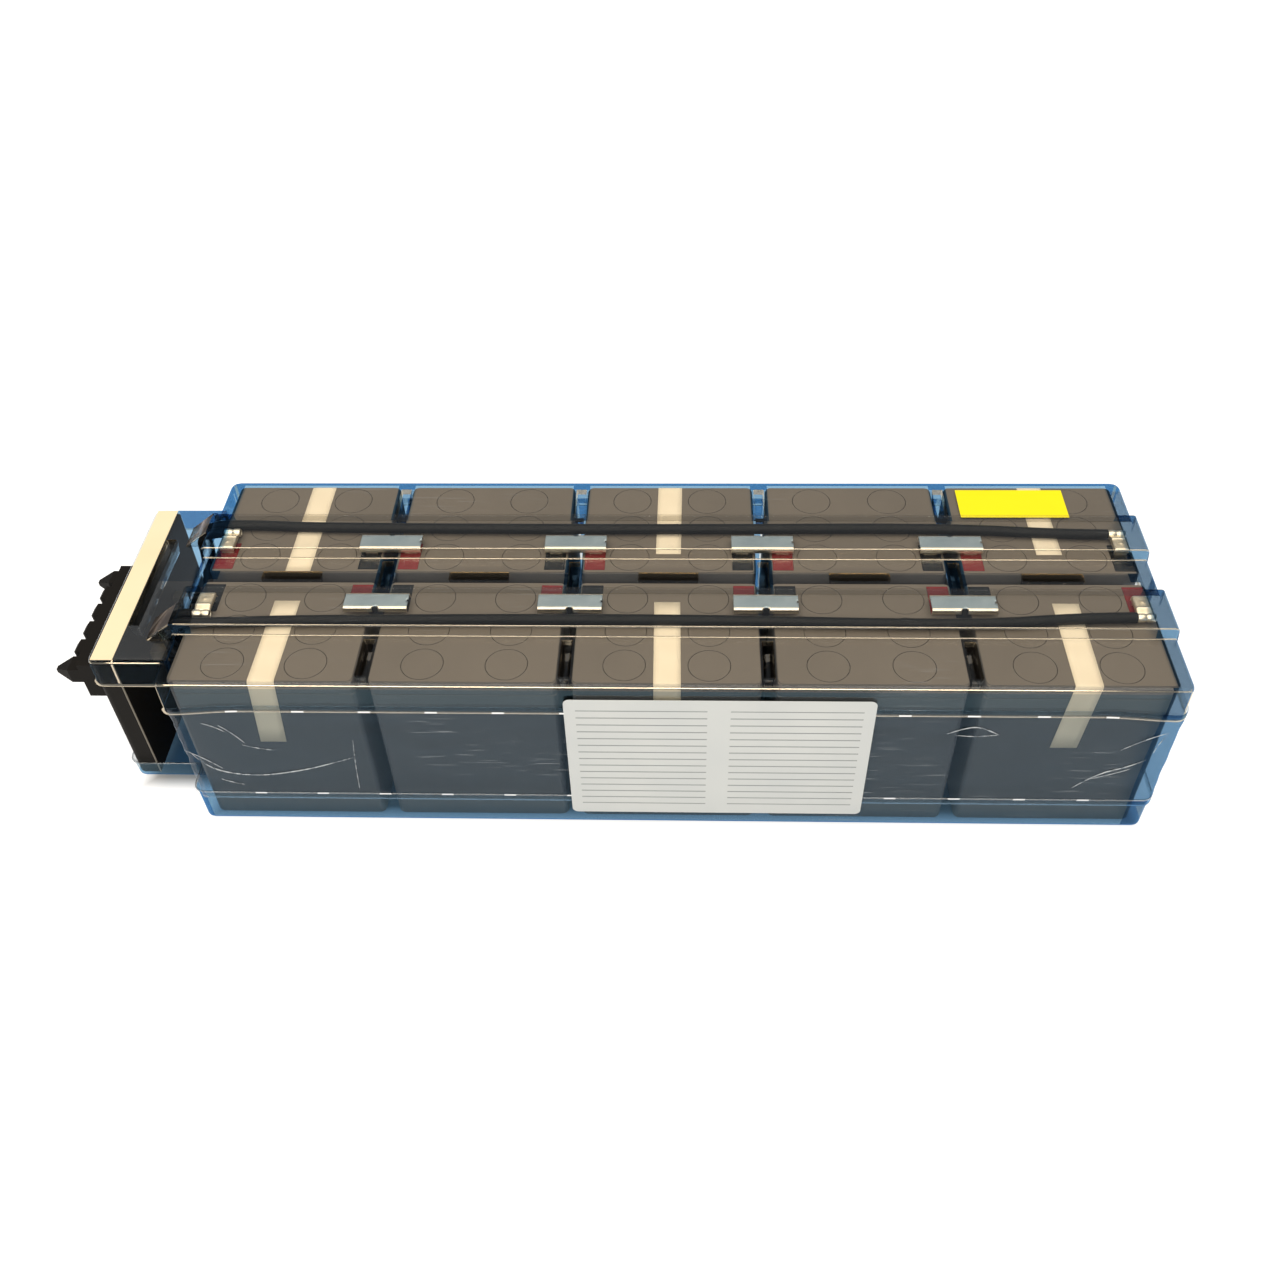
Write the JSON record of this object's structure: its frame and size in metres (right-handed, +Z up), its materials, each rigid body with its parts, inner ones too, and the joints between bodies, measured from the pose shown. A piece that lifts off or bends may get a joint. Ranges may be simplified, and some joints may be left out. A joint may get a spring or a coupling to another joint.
{
  "type": "battery module",
  "caption": "Long battery module: rows of sealed blocks joined by link bars in a clear pressed lid and tray, with a plug-in power connector at one end.",
  "frame": {"origin": "on the ground plane under the middle of the whole module's bounding box", "axes": "+X along the rows away from the connector, +Y across the rows to the back, +Z up"},
  "size_m": [0.5638, 0.1582, 0.1097],
  "materials": {
    "abs_case": "fine grain",
    "tinned_steel": "tin plated",
    "lead_insulation": "satin",
    "paper_tape": "matt paper",
    "red_seal": "cast resin",
    "black_seal": "cast resin",
    "clear_sheet": "clear vacuum-formed sheet",
    "clear_film": "clear adhesive film",
    "connector_plastic": "moulded",
    "contact_plating": "plated",
    "white_label": "coated label",
    "yellow_label": "coated label"
  },
  "bodies": {
    "root": {"battery_case_back_1": "abs_case", "battery_case_back_2": "abs_case", "battery_case_back_3": "abs_case", "battery_case_back_4": "abs_case", "battery_case_back_5": "abs_case", "battery_case_front_1": "abs_case", "battery_case_front_2": "abs_case", "battery_case_front_3": "abs_case", "battery_case_front_4": "abs_case", "battery_case_front_5": "abs_case", "battery_lid_back_1": "abs_case", "battery_lid_back_2": "abs_case", "battery_lid_back_3": "abs_case", "battery_lid_back_4": "abs_case", "battery_lid_back_5": "abs_case", "battery_lid_front_1": "abs_case", "battery_lid_front_2": "abs_case", "battery_lid_front_3": "abs_case", "battery_lid_front_4": "abs_case", "battery_lid_front_5": "abs_case", "case_lid": "clear_sheet", "case_tray": "clear_sheet", "connector_contacts": "contact_plating", "connector_housing": "connector_plastic", "connector_label": "paper_tape", "flag_terminal_back_left": "tinned_steel", "flag_terminal_back_right": "tinned_steel", "flag_terminal_front_left": "tinned_steel", "flag_terminal_front_right": "tinned_steel", "leads_back": "lead_insulation", "leads_front": "lead_insulation", "link_bar_back_1": "tinned_steel", "link_bar_back_2": "tinned_steel", "link_bar_back_3": "tinned_steel", "link_bar_back_4": "tinned_steel", "link_bar_front_1": "tinned_steel", "link_bar_front_2": "tinned_steel", "link_bar_front_3": "tinned_steel", "link_bar_front_4": "tinned_steel", "negative_terminal_seals": "black_seal", "paper_strip_back_1": "paper_tape", "paper_strip_back_3": "paper_tape", "paper_strip_back_5": "paper_tape", "paper_strip_front_1": "paper_tape", "paper_strip_front_3": "paper_tape", "paper_strip_front_5": "paper_tape", "positive_terminal_seals": "red_seal", "seam_film": "clear_film", "side_label": "white_label", "terminal_tabs": "tinned_steel", "top_label": "yellow_label"}
  },
  "joints": []
}
